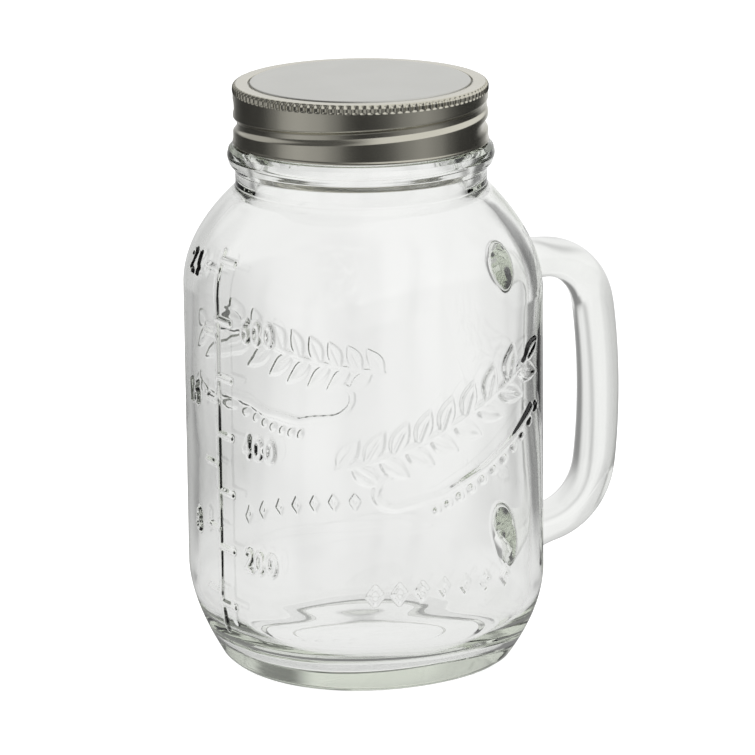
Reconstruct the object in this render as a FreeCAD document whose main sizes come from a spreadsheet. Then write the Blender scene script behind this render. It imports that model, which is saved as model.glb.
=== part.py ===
"""Handled glass storage jar with a two-piece screw lid, in millimetres.

Origin: jar axis at the resting plane.  +Z is up, the handle points to +X.
Every size is a named cell of the sheet below; the pieces are bound to those cells.
"""
import FreeCAD, Part
import math
import os
import Sketcher
from FreeCAD import Placement, Rotation, Vector

SIZES = (
    # the blown body: a square with bowed faces and large soft corners
    ("body_radius", 50.1, "mean half-width of the body, between face and corner"),
    ("squareness", 1.9, "how far corners stand out and faces draw in from the mean"),
    ("heel_height", 26.7, "height over which the heel curves out to the full body"),
    ("heel_inset", 9.4, "how far the resting edge lies inside the body"),
    ("heel_curve", 1.85, "power of the heel's curve"),
    ("shoulder_start", 109.0, "height where the shoulder begins to close in"),
    ("shoulder_rise", 30.2, "height of the shoulder"),
    ("shoulder_tuck", 0.4, "how far the shoulder's top lies inside the neck"),
    ("shoulder_curve", 2.03, "power of the shoulder's curve"),
    ("wall", 4.4, "mean glass thickness of the side wall"),
    ("floor_thickness", 8.0, "glass thickness of the floor"),
    ("inner_heel_rise", 17.0, "height of the rounded corner inside the floor"),
    ("inner_heel_inset", 9.0, "how far the inner floor lies inside the inner wall"),
    ("inner_heel_curve", 2.4, "power of that corner's curve"),
    ("hollow_drop", 0.9, "how far the hollow's shoulder lies below the outer one"),
    ("inner_squareness", 0.7, "squareness of the inside, rounder than the outside"),
    ("throat_lip", 1.0, "how far the inside closes under the mouth's bore"),
    ("foot_round", 1.2, "rounding of the resting edge"),
    ("neck_round", 2.0, "fillet between shoulder and neck"),
    ("throat_round", 3.0, "rounding where the inside meets the mouth's bore"),
    # underside
    ("bearing_radius", 34.0, "inner radius of the ring that the jar rests on"),
    ("mark_radius", 22.5, "radius of the round step in the underside"),
    ("pushup_rise", 1.3, "rise of the underside at the round step"),
    ("mark_step", 0.5, "height of the round step"),
    # neck finish, all of it measured from the threaded wall
    ("finish_radius", 33.6, "radius of the threaded wall"),
    ("finish_wall", 3.6, "glass thickness of the threaded wall"),
    ("finish_height", 15.6, "height of the threaded wall above the bead"),
    ("neck_proud", 2.0, "how far the stretch under the bead stands out"),
    ("neck_gap", 3.2, "height of that stretch"),
    ("bead_proud", 4.2, "how far the handling bead stands out"),
    ("bead_height", 7.2, "height of the handling bead"),
    ("bead_crown", 0.6, "how far the bead's face bows out"),
    ("bead_under", 1.6, "height of the bead's rounded underside"),
    ("bead_round", 2.3, "radius of that underside"),
    ("bead_bevel", 1.0, "height of the bevel on the bead's top edge"),
    ("rim_round", 1.1, "rounding of the mouth's edges"),
    # thread, shared by the glass and the screw band
    ("thread_lead", 10.16, "rise in one turn; two starts lie half of this apart"),
    ("thread_drop", 7.2, "rim down to the band's ridge at the reference angle"),
    ("ridge_proud", 1.5, "height of the glass thread"),
    ("ridge_root", 2.5, "width of the glass thread at its root"),
    ("ridge_crest", 1.2, "width of the glass thread at its crest"),
    ("ridge_angle", 215.0, "length of each glass thread, in degrees"),
    ("ridge_lead_in", 167.5, "reference angle back to the lower end of a glass thread"),
    ("roll_radius", 2.3, "radius of the roller that presses the band's groove"),
    ("roll_depth", 1.05, "depth of that groove"),
    ("roll_angle", 220.0, "length of each groove, in degrees"),
    ("roll_lead_in", 120.0, "reference angle back to the lower end of a groove"),
    # handle
    ("grip_reach", 77.1, "axis of the jar to the middle of the grip"),
    ("grip_bow", 190.0, "radius of the grip's outward bow"),
    ("grip_thickness", 11.6, "thickness of the bar, away from the jar"),
    ("grip_width", 14.6, "width of the bar, across the hand"),
    ("upper_arm_rise", 0.6, "shoulder's start up to the upper arm's middle line"),
    ("lower_arm_rise", 0.9, "heel's top up to the lower arm's middle line at the body"),
    ("arm_slope", 8.0, "slope of the lower arm, in degrees"),
    ("upper_bend", 17.0, "bend radius between upper arm and grip"),
    ("lower_bend", 19.0, "bend radius between lower arm and grip"),
    ("root_depth", 2.0, "how far the bar starts inside the wall's middle"),
    ("root_length", 12.0, "length over which the arms swell towards the body"),
    ("root_width", 16.6, "width of the arms at the body"),
    ("upper_root", 14.4, "thickness of the upper arm at the body"),
    ("lower_root", 19.0, "thickness of the lower arm at the body"),
    ("root_fillet", 3.0, "fillet where the arms join the body"),
    # measuring rule pressed into the face away from the handle
    ("rule_proud", 0.6, "how far the rule stands out of the glass"),
    ("rule_width", 1.5, "width of the upright line and of the marks"),
    ("rule_turn", 5.5, "angle from the middle of the face to the upright line"),
    ("mark_length", 8.3, "length of a mark"),
    ("litre_first", 39.0, "height of the lowest mark on the near side of the line"),
    ("litre_pitch", 16.5, "spacing of those marks"),
    ("ounce_first", 44.0, "height of the lowest mark on the far side of the line"),
    ("ounce_pitch", 18.7, "spacing of those marks"),
    ("rule_margin", 2.0, "plain wall left at each end of the upright line"),
    # screw band
    ("skirt_clearance", 0.65, "glass thread to the inside of the skirt"),
    ("band_sheet", 0.4, "thickness of the rolled sheet"),
    ("band_gap", 0.6, "bead up to the band's lower edge"),
    ("band_corner", 1.3, "rounding between skirt and top flange"),
    ("flange_step", 1.6, "mouth's bore out to the opening in the top flange"),
    ("knurl_height", 1.2, "height of the knurled belt under the corner"),
    ("knurl_wall", 0.9, "thickness of the knurled belt"),
    ("knurl_depth", 0.36, "depth of a knurl scallop"),
    ("knurl_tool", 1.35, "radius of a knurl scallop"),
    ("knurl_run_out", 0.6, "height over which a scallop's lower end fades out"),
    ("knurl_count", 107, "scallops round the belt"),
    # lid disc and its seal
    ("disc_play", 0.75, "disc's edge to the inside of the knurled belt"),
    ("disc_sheet", 0.3, "thickness of the disc"),
    ("panel_play", 0.4, "raised centre panel to the flange's opening"),
    ("panel_rise", 0.85, "height of the centre panel above the disc's rim"),
    ("disc_corner", 0.6, "rounding of the panel's edge"),
    ("seal_step", 0.5, "mouth's bore out to the sealing ring"),
    ("seal_width", 3.5, "width of the sealing ring"),
    ("seal_thickness", 0.9, "thickness of the sealing ring"),
    ("lid_gap", 0.15, "clearance between disc rim and band flange"),
)

doc = FreeCAD.newDocument("jar")
sheet = doc.addObject("Spreadsheet::Sheet", "sizes")
for row, (alias, value, meaning) in enumerate(SIZES, start=1):
    sheet.set(f"A{row}", meaning)
    sheet.set(f"B{row}", str(value))
    sheet.setAlias(f"B{row}", alias)
doc.recompute()


class Size:
    """A cell of the sheet, or arithmetic on cells: its value and its expression."""

    def __init__(self, value, text):
        self.value = value
        self.text = text

    def __float__(self):
        return float(self.value)

    def __add__(self, other):
        other = as_size(other)
        return Size(self.value + other.value, f"({self.text} + {other.text})")

    def __sub__(self, other):
        other = as_size(other)
        return Size(self.value - other.value, f"({self.text} - {other.text})")

    def __mul__(self, other):
        other = as_size(other)
        return Size(self.value * other.value, f"({self.text} * {other.text})")

    def __truediv__(self, other):
        other = as_size(other)
        return Size(self.value / other.value, f"({self.text} / {other.text})")


def as_size(number):
    """A plain number as a Size."""
    if isinstance(number, Size):
        return number
    return Size(float(number), f"{number:g}")


def trigonometric(function, degrees):
    """Sine, cosine or tangent of a size that is an angle in degrees."""
    value = getattr(math, function)(math.radians(float(degrees)))
    return Size(value, f"{function}({degrees.text})")


def cell(alias):
    """The sheet's cell of that name."""
    return Size(float(sheet.get(alias)), f"sizes.{alias}")


def bind(target, name, size):
    """Set a property or constraint to a size and keep it tied to the sheet."""
    if name.startswith("Constraints["):
        target.setExpression(name, size.text)
        return
    whole = isinstance(getattr(target, name), int)
    setattr(target, name, round(float(size)) if whole else float(size))
    target.setExpression(name, size.text)


# Heights that follow from the driving sizes
SHOULDER_TOP = cell("shoulder_start") + cell("shoulder_rise")
HOLLOW_SHOULDER = cell("shoulder_start") - cell("hollow_drop")
THROAT = SHOULDER_TOP - cell("hollow_drop")
BEAD_BOTTOM = SHOULDER_TOP + cell("neck_gap")
BEAD_TOP = BEAD_BOTTOM + cell("bead_height")
RIM = BEAD_TOP + cell("finish_height")
SEAL_TOP = RIM + cell("seal_thickness")
DISC_RIM_TOP = SEAL_TOP + cell("disc_sheet")
FLANGE_UNDERSIDE = DISC_RIM_TOP + cell("lid_gap")
BAND_TOP = FLANGE_UNDERSIDE + cell("band_sheet")
BAND_BOTTOM = BEAD_TOP + cell("band_gap")
BAND_RIDGE_HEIGHT = RIM - cell("thread_drop")
GLASS_RIDGE_HEIGHT = BAND_RIDGE_HEIGHT + cell("thread_lead") / 4

# Radii that follow, each from the piece inside it
NECK_RADIUS = cell("finish_radius") + cell("neck_proud")
BEAD_RADIUS = cell("finish_radius") + cell("bead_proud")
BORE_RADIUS = cell("finish_radius") - cell("finish_wall")
RIDGE_RADIUS = cell("finish_radius") + cell("ridge_proud")
SKIRT_INSIDE = RIDGE_RADIUS + cell("skirt_clearance")
BAND_RADIUS = SKIRT_INSIDE + cell("band_sheet")
BELT_INSIDE = BAND_RADIUS - cell("knurl_wall")
FLANGE_OPENING = BORE_RADIUS + cell("flange_step")
PANEL_RADIUS = FLANGE_OPENING - cell("panel_play")
DISC_RADIUS = BELT_INSIDE - cell("disc_play")
SEAL_INNER = BORE_RADIUS + cell("seal_step")

UPPER_ARM = cell("shoulder_start") + cell("upper_arm_rise")
LOWER_ARM = cell("heel_height") + cell("lower_arm_rise")
HANDLE_ROOT = cell("body_radius") - cell("wall") / 2 - cell("root_depth")

UP = Vector(0, 0, 1)
REFERENCE_ANGLE = -117.0
STARTS = 2
OVERLAP = 0.4  # how deep an added shape sinks into the one that carries it
PASS = 1.0  # how far a cutting shape runs past the surface that it cuts
FOOT_ROUNDNESS = 0.7  # share of the squareness that is gone at the foot

# Levels of the body's sections, as shares of the heel, the straight wall and the shoulder
HEEL_LEVELS = (0.0, 0.12, 0.3, 0.55, 0.8, 1.0)
WALL_LEVELS = (0.33, 0.67)
SHOULDER_LEVELS = (0.0, 0.2, 0.42, 0.62, 0.82, 1.0)
SECTION_POINTS = 24


def origin_plane(body, role):
    """The body's own origin plane."""
    for feature in body.Origin.OriginFeatures:
        if feature.Role == role:
            return feature
    raise ValueError(role)


def sketch_on(body, role, name, offset=None):
    """A sketch in the body on one of its origin planes."""
    sketch = body.newObject("Sketcher::SketchObject", name)
    sketch.AttachmentSupport = [(origin_plane(body, role), "")]
    sketch.MapMode = "FlatFace"
    if offset is not None:
        sketch.AttachmentOffset = offset
    return sketch


def place_point(sketch, geometry, end, across, up):
    """Hold one end of a piece of geometry at two sizes from the sketch's origin."""
    for kind, size, axis in (("DistanceX", across, -2), ("DistanceY", up, -1)):
        if float(size) == 0:
            sketch.addConstraint(Sketcher.Constraint("PointOnObject", geometry, end, axis))
            continue
        row = sketch.addConstraint(
            Sketcher.Constraint(kind, -1, 1, geometry, end, float(size)))
        bind(sketch, f"Constraints[{row}]", as_size(size))


def arc_between(start, end, radius):
    """Arc from start to end; a positive radius turns left, a negative one right."""
    chord = end - start
    middle = (start + end) * 0.5
    left = Vector(-chord.y, chord.x, 0).normalize()
    rise = math.sqrt(max(radius ** 2 - (chord.Length / 2) ** 2, 0))
    centre = middle + left * math.copysign(rise, radius)
    first, last = (start, end) if radius > 0 else (end, start)
    angles = [math.atan2(p.y - centre.y, p.x - centre.x) for p in (first, last)]
    if angles[1] < angles[0]:
        angles[1] += 2 * math.pi
    circle = Part.Circle(centre, UP, abs(radius))
    return Part.ArcOfCircle(circle, *angles)


def outline(sketch, corners):
    """Closed outline through corners (across, up[, radius of the arc that follows])."""
    ends = []
    for index, corner in enumerate(corners):
        following = corners[(index + 1) % len(corners)]
        start = Vector(float(corner[0]), float(corner[1]), 0)
        end = Vector(float(following[0]), float(following[1]), 0)
        if len(corner) == 2:
            row = sketch.addGeometry(Part.LineSegment(start, end), False)
            ends.append((row, 1, 2))
            continue
        radius = corner[2]
        row = sketch.addGeometry(arc_between(start, end, float(radius)), False)
        ends.append((row, 1, 2) if float(radius) > 0 else (row, 2, 1))
        size = as_size(radius)
        if size.value < 0:
            size = as_size(0) - size
        held = sketch.addConstraint(Sketcher.Constraint("Radius", row, size.value))
        bind(sketch, f"Constraints[{held}]", size)
    for index, corner in enumerate(corners):
        row, first, last = ends[index]
        after, after_first, _ = ends[(index + 1) % len(corners)]
        sketch.addConstraint(Sketcher.Constraint("Coincident", row, last, after, after_first))
        place_point(sketch, row, first, corner[0], corner[1])


def revolve(body, sketch, name="turned", cut=False):
    """Turn an outline about the sketch's upright axis."""
    feature = body.newObject("PartDesign::Groove" if cut else "PartDesign::Revolution", name)
    feature.Profile = sketch
    feature.ReferenceAxis = (sketch, ["V_Axis"])
    feature.Angle = 360.0
    return feature


def helix(body, sketch, name, angle, cut=False):
    """Carry an outline up a right-hand helix about the sketch's upright axis."""
    kind = "PartDesign::SubtractiveHelix" if cut else "PartDesign::AdditiveHelix"
    feature = body.newObject(kind, name)
    feature.Profile = sketch
    feature.ReferenceAxis = (sketch, ["V_Axis"])
    feature.Mode = "pitch-turns-angle"
    bind(feature, "Pitch", cell("thread_lead"))
    bind(feature, "Turns", angle / 360)
    return feature


def around_axis(body, originals, name, count):
    """Repeat features evenly about the upright axis and make that the body's tip."""
    pattern = body.newObject("PartDesign::PolarPattern", name)
    pattern.Originals = originals
    pattern.Axis = (origin_plane(body, "Z_Axis"), [""])
    pattern.Angle = 360.0
    bind(pattern, "Occurrences", as_size(count))
    body.Tip = pattern
    return pattern


def ring_wire(radius, squareness, height):
    """Closed section: a circle pushed out at the four corners and in at the faces."""
    points = []
    for step in range(SECTION_POINTS):
        angle = 2 * math.pi * step / SECTION_POINTS + math.pi / 4
        reach = radius - squareness * math.cos(4 * angle)
        points.append(Vector(reach * math.cos(angle), reach * math.sin(angle), height))
    curve = Part.BSplineCurve()
    curve.interpolate(Points=points, PeriodicFlag=True)
    return Part.Wire([curve.toShape()])


def body_shell(bottom, heel, wall_top, top, radius, squareness, top_radius):
    """Solid with a curved heel (height, inset, power), a straight wall and a curved shoulder."""
    heel_height, heel_inset, heel_power = [float(size) for size in heel]
    bottom, wall_top, top = float(bottom), float(wall_top), float(top)
    radius, squareness, top_radius = float(radius), float(squareness), float(top_radius)
    heel_top = bottom + heel_height
    wires = []
    for share in HEEL_LEVELS:
        closing = (1 - share) ** heel_power
        wires.append(ring_wire(radius - heel_inset * closing, squareness * (1 - FOOT_ROUNDNESS * closing),
                               bottom + heel_height * share))
    for share in WALL_LEVELS:
        wires.append(ring_wire(radius, squareness, heel_top + (wall_top - heel_top) * share))
    for share in SHOULDER_LEVELS:
        closing = share ** float(cell("shoulder_curve"))
        wires.append(ring_wire(radius - (radius - top_radius) * closing, squareness * (1 - share),
                               wall_top + (top - wall_top) * share))
    return Part.makeLoft(wires, True, False)


def make_feature(name, shape):
    """A shape worked out above, as an object of the document."""
    feature = doc.addObject("Part::Feature", name)
    feature.Shape = shape
    return feature


def cylinder(name, radius, length, start, direction):
    """Cylinder from a start point along a direction."""
    shape = doc.addObject("Part::Cylinder", name)
    bind(shape, "Radius", radius)
    bind(shape, "Height", as_size(length))
    shape.Placement = Placement(Vector(*[float(part) for part in start]), Rotation(UP, direction))
    for axis, part in zip("xyz", start):
        shape.setExpression(f"Placement.Base.{axis}", as_size(part).text)
    return shape


def jar_skin():
    """Outside of the body, from the resting edge to the neck."""
    heel = (cell("heel_height"), cell("heel_inset"), cell("heel_curve"))
    return make_feature("jar_skin", body_shell(
        0.0, heel, cell("shoulder_start"), SHOULDER_TOP,
        cell("body_radius"), cell("squareness"), NECK_RADIUS - cell("shoulder_tuck")))


def jar_hollow():
    """Inside of the body, one mean wall thickness in from the skin."""
    heel = (cell("inner_heel_rise"), cell("inner_heel_inset"), cell("inner_heel_curve"))
    return make_feature("jar_hollow", body_shell(
        cell("floor_thickness"), heel, HOLLOW_SHOULDER, THROAT,
        cell("body_radius") - cell("wall"), cell("inner_squareness"), BORE_RADIUS - cell("throat_lip")))


def mouth_bore():
    """Round hole down through the neck, into the top of the hollow."""
    overlap = cell("throat_lip") * 2
    return cylinder("mouth_bore", BORE_RADIUS, RIM - THROAT + overlap + PASS, (0, 0, THROAT - overlap), UP)


def neck_finish():
    """Neck, handling bead and threaded wall, turned in one outline."""
    body = doc.addObject("PartDesign::Body", "neck_finish")
    profile = sketch_on(body, "XZ_Plane", "neck_profile")
    hidden = SHOULDER_TOP - cell("wall")
    bead_edge = BEAD_RADIUS - cell("bead_crown")
    half_face = (cell("bead_height") - cell("bead_under") - cell("bead_bevel")) / 2
    bow = half_face * half_face / (cell("bead_crown") * 2) + cell("bead_crown") / 2
    outline(profile, [
        (0, hidden),
        (NECK_RADIUS, hidden),
        (NECK_RADIUS, BEAD_BOTTOM, cell("bead_round")),
        (bead_edge, BEAD_BOTTOM + cell("bead_under"), bow),
        (bead_edge, BEAD_TOP - cell("bead_bevel")),
        (bead_edge - cell("bead_bevel"), BEAD_TOP),
        (cell("finish_radius"), BEAD_TOP),
        (cell("finish_radius"), RIM - cell("rim_round"), cell("rim_round")),
        (cell("finish_radius") - cell("rim_round"), RIM),
        (0, RIM),
    ])
    revolve(body, profile)
    glass_thread(body)
    return body


def glass_thread(body):
    """Both starts of the moulded thread, one outline carried up a helix."""
    turned, foot = thread_start(GLASS_RIDGE_HEIGHT, cell("ridge_lead_in"))
    sketch = sketch_on(body, "XZ_Plane", "ridge_profile", turned)
    buried = cell("finish_radius") - OVERLAP
    outline(sketch, [
        (buried, foot - cell("ridge_root") / 2),
        (RIDGE_RADIUS, foot - cell("ridge_crest") / 2),
        (RIDGE_RADIUS, foot + cell("ridge_crest") / 2),
        (buried, foot + cell("ridge_root") / 2),
    ])
    ridge = helix(body, sketch, "ridge", cell("ridge_angle"))
    around_axis(body, [ridge], "ridges", STARTS)


def thread_start(height, lead_in):
    """Turned placement and height of a thread's lower end, from its height at the reference angle."""
    start = REFERENCE_ANGLE - float(lead_in)
    turned = Placement(Vector(0, 0, 0), Rotation(Vector(0, 1, 0), start))
    return turned, height - cell("thread_lead") * (lead_in / 360)


def handle_path(body):
    """Middle line of the handle: arm, bend, bowed grip, bend and sloping arm."""
    path = sketch_on(body, "XZ_Plane", "handle_path")
    root = HANDLE_ROOT
    slope = math.radians(float(cell("arm_slope")))
    top = float(UPPER_ARM)
    low = float(LOWER_ARM)
    reach = float(cell("grip_reach"))
    upper = float(cell("upper_bend"))
    lower = float(cell("lower_bend"))
    bow = float(cell("grip_bow"))
    middle = (top + low) / 2
    centre = Vector(reach - bow, middle, 0)
    # the bends touch the arms and the bow from inside
    upper_centre_z = top - upper
    upper_x = centre.x + math.sqrt((bow - upper) ** 2 - (upper_centre_z - middle) ** 2)
    upper_centre = Vector(upper_x, upper_centre_z, 0)
    # lower bend: its centre lies off the sloping arm's line and inside the bow
    x = upper_x
    for _ in range(20):
        z = low + (x - float(root)) * math.tan(slope) + lower / math.cos(slope)
        x = centre.x + math.sqrt((bow - lower) ** 2 - (z - middle) ** 2)
    lower_centre = Vector(x, z, 0)

    def toward(origin, target):
        return math.atan2(target.y - origin.y, target.x - origin.x)

    upper_turn = toward(centre, upper_centre)
    lower_turn = toward(centre, lower_centre)
    foot_angle = slope - math.pi / 2
    arm_end = Vector(x + lower * math.cos(foot_angle), z + lower * math.sin(foot_angle), 0)
    path.addGeometry(Part.LineSegment(Vector(float(root), top, 0), Vector(upper_x, top, 0)), False)
    path.addGeometry(Part.ArcOfCircle(
        Part.Circle(upper_centre, UP, upper), upper_turn, math.pi / 2), False)
    path.addGeometry(Part.ArcOfCircle(Part.Circle(centre, UP, bow), lower_turn, upper_turn), False)
    path.addGeometry(Part.ArcOfCircle(
        Part.Circle(lower_centre, UP, lower), foot_angle, lower_turn), False)
    path.addGeometry(Part.LineSegment(Vector(float(root), low, 0), arm_end), False)
    for first, first_end, second, second_end in ((0, 2, 1, 2), (1, 1, 2, 2), (2, 1, 3, 2), (3, 1, 4, 2)):
        path.addConstraint(Sketcher.Constraint("Tangent", first, first_end, second, second_end))
    path.addConstraint(Sketcher.Constraint("Horizontal", 0))
    place_point(path, 0, 1, root, UPPER_ARM)
    place_point(path, 4, 1, root, LOWER_ARM)
    for row, name in ((1, "upper_bend"), (2, "grip_bow"), (3, "lower_bend")):
        held = path.addConstraint(Sketcher.Constraint("Radius", row, float(cell(name))))
        bind(path, f"Constraints[{held}]", cell(name))
    held = path.addConstraint(Sketcher.Constraint("Angle", 4, slope))
    bind(path, f"Constraints[{held}]", cell("arm_slope"))
    behind = cell("grip_bow") - cell("grip_reach")
    held = path.addConstraint(Sketcher.Constraint("DistanceX", 2, 3, -1, 1, float(behind)))
    bind(path, f"Constraints[{held}]", behind)
    level = (UPPER_ARM + LOWER_ARM) / 2
    held = path.addConstraint(Sketcher.Constraint("DistanceY", -1, 1, 2, 3, float(level)))
    bind(path, f"Constraints[{held}]", level)
    return path


def oval(sketch, up, width, height):
    """Oval on the sketch's upright axis, its long way across or up."""
    centre = Vector(0, float(up), 0)
    sideways = Vector(-float(width) / 2, 0, 0)
    upward = Vector(0, float(height) / 2, 0)
    if float(width) > float(height):
        shape = Part.Ellipse(centre - sideways, centre + upward, centre)
        long_way, major, minor = "Horizontal", width, height
    else:
        shape = Part.Ellipse(centre + upward, centre + sideways, centre)
        long_way, major, minor = "Vertical", height, width
    row = sketch.addGeometry(shape, False)
    sketch.exposeInternalGeometry(row)
    sketch.addConstraint(Sketcher.Constraint(long_way, row + 1))
    for line, size in ((row + 1, major), (row + 2, minor)):
        held = sketch.addConstraint(Sketcher.Constraint("Distance", line, float(size)))
        bind(sketch, f"Constraints[{held}]", size)
    place_point(sketch, row, 3, 0, up)


def cross_section(body, name, across, up, width, height):
    """Oval sketch standing across the handle's arms, a distance from the jar's axis."""
    sketch = sketch_on(body, "YZ_Plane", name, Placement(Vector(0, 0, float(across)), Rotation()))
    sketch.setExpression(".AttachmentOffset.Base.z", across.text)
    oval(sketch, up, width, height)
    return sketch


def handle():
    """One oval section carried along the path, both arms swelling towards the body."""
    body = doc.addObject("PartDesign::Body", "handle")
    path = handle_path(body)
    bar = body.newObject("PartDesign::AdditivePipe", "bar")
    bar.Profile = cross_section(body, "bar_section", HANDLE_ROOT, UPPER_ARM,
                                cell("grip_width"), cell("grip_thickness"))
    bar.Spine = path
    climb = cell("root_length") * trigonometric("tan", cell("arm_slope"))
    for name, height, rise, thickness in (("upper", UPPER_ARM, 0, "upper_root"),
                                          ("lower", LOWER_ARM, climb, "lower_root")):
        swell = body.newObject("PartDesign::AdditiveLoft", f"{name}_swell")
        swell.Profile = cross_section(body, f"{name}_root_section", HANDLE_ROOT, height,
                                      cell("root_width"), cell(thickness))
        swell.Sections = [cross_section(body, f"{name}_end_section", HANDLE_ROOT + cell("root_length"),
                                        height + rise, cell("grip_width") - OVERLAP,
                                        cell("grip_thickness") - OVERLAP)]
    return body


def underside():
    """What the push-up takes out of the floor, with its round step."""
    body = doc.addObject("PartDesign::Body", "underside")
    profile = sketch_on(body, "XZ_Plane", "pushup_profile")
    step_top = cell("pushup_rise") + cell("mark_step")
    outline(profile, [
        (cell("bearing_radius"), 0),
        (cell("mark_radius"), cell("pushup_rise"), cell("bearing_radius")),
        (cell("mark_radius") - cell("mark_step"), step_top),
        (0, step_top),
        (0, 0),
    ])
    revolve(body, profile)
    below = cylinder("below_floor", cell("bearing_radius"), PASS, (0, 0, -PASS), UP)
    return [body, below]


def on_far_face(turn, sunk):
    """Point under the straight wall away from the handle, at an angle from that face's middle."""
    reach = cell("body_radius") - cell("squareness") * trigonometric("cos", turn * 4) - sunk
    across = as_size(0) - reach * trigonometric("cos", turn)
    aside = as_size(0) - reach * trigonometric("sin", turn)
    return across, aside


def measuring_rule():
    """Upright line with marks both ways, on the face away from the handle."""
    half_width = cell("rule_width") / 2
    sunk = half_width - cell("rule_proud")
    low = cell("heel_height") + cell("rule_margin")
    high = cell("shoulder_start") - cell("rule_margin")
    foot = on_far_face(cell("rule_turn"), sunk)
    mark_turn = math.degrees(float(cell("mark_length") / cell("body_radius")))
    rods = [cylinder("rule_line", half_width, high - low, (*foot, low), UP)]
    for side, first, pitch in ((1, "litre_first", "litre_pitch"), (-1, "ounce_first", "ounce_pitch")):
        tip = on_far_face(cell("rule_turn") + side * mark_turn, sunk)
        along = Vector(float(tip[0] - foot[0]), float(tip[1] - foot[1]), 0)
        count = int((float(high) - float(cell(first))) // float(cell(pitch))) + 1
        for index in range(count):
            name = f"{first.split('_')[0]}_mark_{index}"
            start = (*foot, cell(first) + cell(pitch) * index)
            rods.append(cylinder(name, half_width, cell("mark_length"), start, along))
    return rods


def combine(kind, name, **links):
    """A boolean of the document's objects."""
    result = doc.addObject(kind, name)
    for link, value in links.items():
        setattr(result, link, value)
    return result


def round_edges(base, name, choices):
    """Fillet each edge of the base that a test picks, with that test's radius."""
    doc.recompute()
    edges = []
    for test, radius in choices:
        picked = [index for index, edge in enumerate(base.Shape.Edges, start=1) if test(edge.BoundBox)]
        if not picked:
            raise ValueError(f"{name}: no edge to round")
        edges += [(index, radius, radius) for index in picked]
    rounded = doc.addObject("Part::Fillet", name)
    rounded.Base = base
    rounded.Edges = edges
    return rounded


def at_height(height, reach):
    """Test for level round edges of about that height and reach."""
    height, reach = float(height), float(reach)
    slack = 0.8
    return lambda box: (abs((box.ZMin + box.ZMax) / 2 - height) < slack and box.ZLength < slack
                        and abs(max(box.XMax, -box.XMin) - reach) < slack)


def throat_edge():
    """Height at which the closing hollow is as narrow as the mouth's bore."""
    radius = float(cell("body_radius") - cell("wall"))
    bore, end = float(BORE_RADIUS), float(BORE_RADIUS - cell("throat_lip"))
    share = ((radius - bore) / (radius - end)) ** (1 / float(cell("shoulder_curve")))
    start = float(HOLLOW_SHOULDER)
    return start + (float(THROAT) - start) * share


def handle_root(arm_height, thickness):
    """Test for the edge where an arm of the handle meets the body."""
    reach = float(cell("body_radius"))
    low, high = float(arm_height) - float(thickness), float(arm_height) + float(thickness)
    return lambda box: (box.XMin > reach - 7 and box.XMax < reach + 2 and box.YLength > 5
                        and box.ZMin > low and box.ZMax < high)


def glass_jar():
    """The one glass moulding: body, neck finish, handle and measuring rule."""
    solid = combine("Part::MultiFuse", "jar_solid",
                    Shapes=[jar_skin(), neck_finish(), handle()] + measuring_rule())
    voids = combine("Part::MultiFuse", "jar_voids", Shapes=[jar_hollow(), mouth_bore()] + underside())
    open_jar = combine("Part::Cut", "open_jar", Base=solid, Tool=voids)
    root = float(cell("root_fillet"))
    return round_edges(open_jar, "glass_jar", [
        (handle_root(UPPER_ARM, cell("upper_root")), root),
        (handle_root(LOWER_ARM, cell("lower_root")), root),
        (at_height(0, cell("body_radius") - cell("heel_inset")), float(cell("foot_round"))),
        (at_height(SHOULDER_TOP, NECK_RADIUS), float(cell("neck_round"))),
        (at_height(throat_edge(), BORE_RADIUS), float(cell("throat_round"))),
        (at_height(RIM, BORE_RADIUS), float(cell("rim_round"))),
    ])


def screw_band():
    """Rolled metal band: skirt, flange, knurled belt and two thread grooves."""
    body = doc.addObject("PartDesign::Body", "screw_band")
    corner = cell("band_corner")
    belt_top = BAND_TOP - corner
    belt_bottom = belt_top - cell("knurl_height")
    profile = sketch_on(body, "XZ_Plane", "band_profile")
    outline(profile, [
        (BAND_RADIUS, BAND_BOTTOM),
        (BAND_RADIUS, belt_top, corner),
        (BAND_RADIUS - corner, BAND_TOP),
        (FLANGE_OPENING, BAND_TOP),
        (FLANGE_OPENING, FLANGE_UNDERSIDE),
        (BELT_INSIDE, FLANGE_UNDERSIDE),
        (BELT_INSIDE, belt_bottom),
        (SKIRT_INSIDE, belt_bottom - cell("knurl_wall")),
        (SKIRT_INSIDE, BAND_BOTTOM),
    ])
    revolve(body, profile)
    knurl(body, belt_bottom)
    roll_thread(body)
    return body


def roll_thread(body):
    """Press both thread grooves: a ridge on the inside, then the groove outside."""
    turned, centre_height = thread_start(BAND_RIDGE_HEIGHT, cell("roll_lead_in"))
    tool_centre = BAND_RADIUS - cell("roll_depth") + cell("roll_radius")
    middle_of_sheet = BAND_RADIUS - cell("band_sheet") / 2
    just_outside = BAND_RADIUS + cell("band_sheet") / 4
    inside_radius = cell("roll_radius") + cell("band_sheet")
    for name, radius, edge, cut in (("inner_ridge", inside_radius, middle_of_sheet, False),
                                    ("outer_groove", cell("roll_radius"), just_outside, True)):
        sketch = sketch_on(body, "XZ_Plane", name + "_profile", turned)
        segment(sketch, tool_centre, centre_height, radius, edge)
        rolled = helix(body, sketch, name, cell("roll_angle"), cut)
        around_axis(body, [rolled], name + "s", STARTS)


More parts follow.
